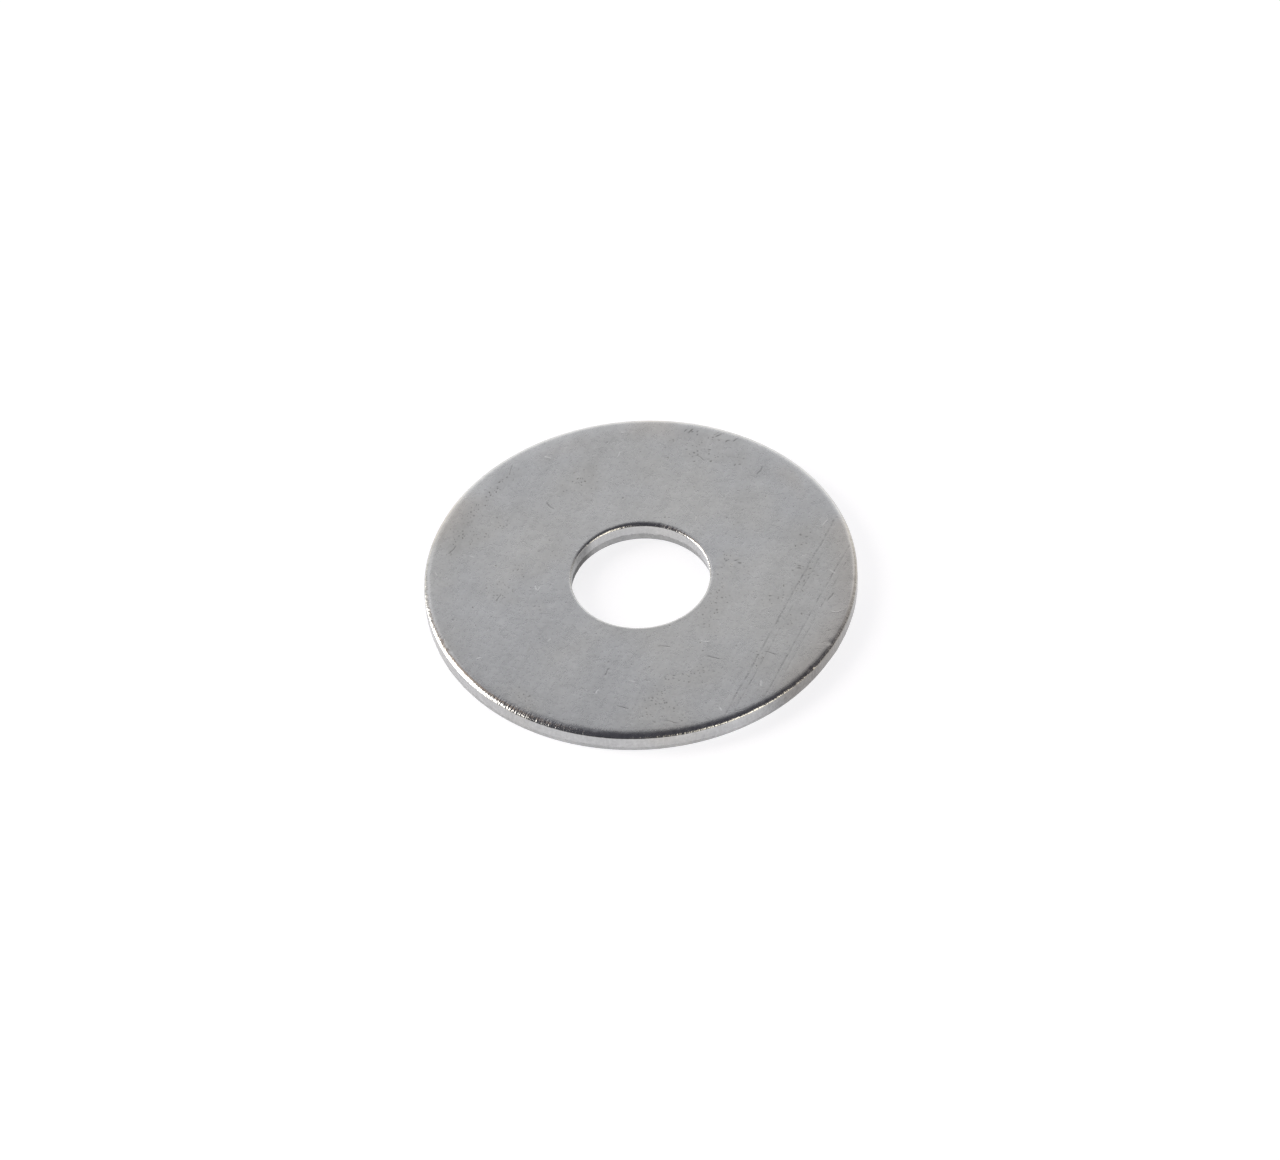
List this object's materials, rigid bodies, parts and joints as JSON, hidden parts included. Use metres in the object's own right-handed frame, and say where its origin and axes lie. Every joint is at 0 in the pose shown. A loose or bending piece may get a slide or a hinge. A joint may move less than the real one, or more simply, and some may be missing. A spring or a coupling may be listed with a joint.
{
  "type": "flat washer",
  "caption": "Wide flat washer of stamped stainless steel: a plain round disc with a central bolt hole, softly rolled upper edges and smooth flat faces.",
  "frame": {"origin": "centre of the bolt hole at the level of the lower bearing face, which is the face that rests on a table or on the work", "axes": "+Z along the bolt axis, from the lower bearing face towards the upper, rolled-edge face; X and Y lie in the lower face and are interchangeable, because the washer is a body of revolution"},
  "size_m": [0.02, 0.02, 0.001],
  "materials": {
    "stamped_stainless": "mill-finish stainless steel, tumbled after stamping: satin grey faces with fine pits and short scratches, brighter sheared edge, duller torn band at the foot of the rim and hole"
  },
  "bodies": {
    "root": {"washer": "stamped_stainless"}
  },
  "joints": []
}
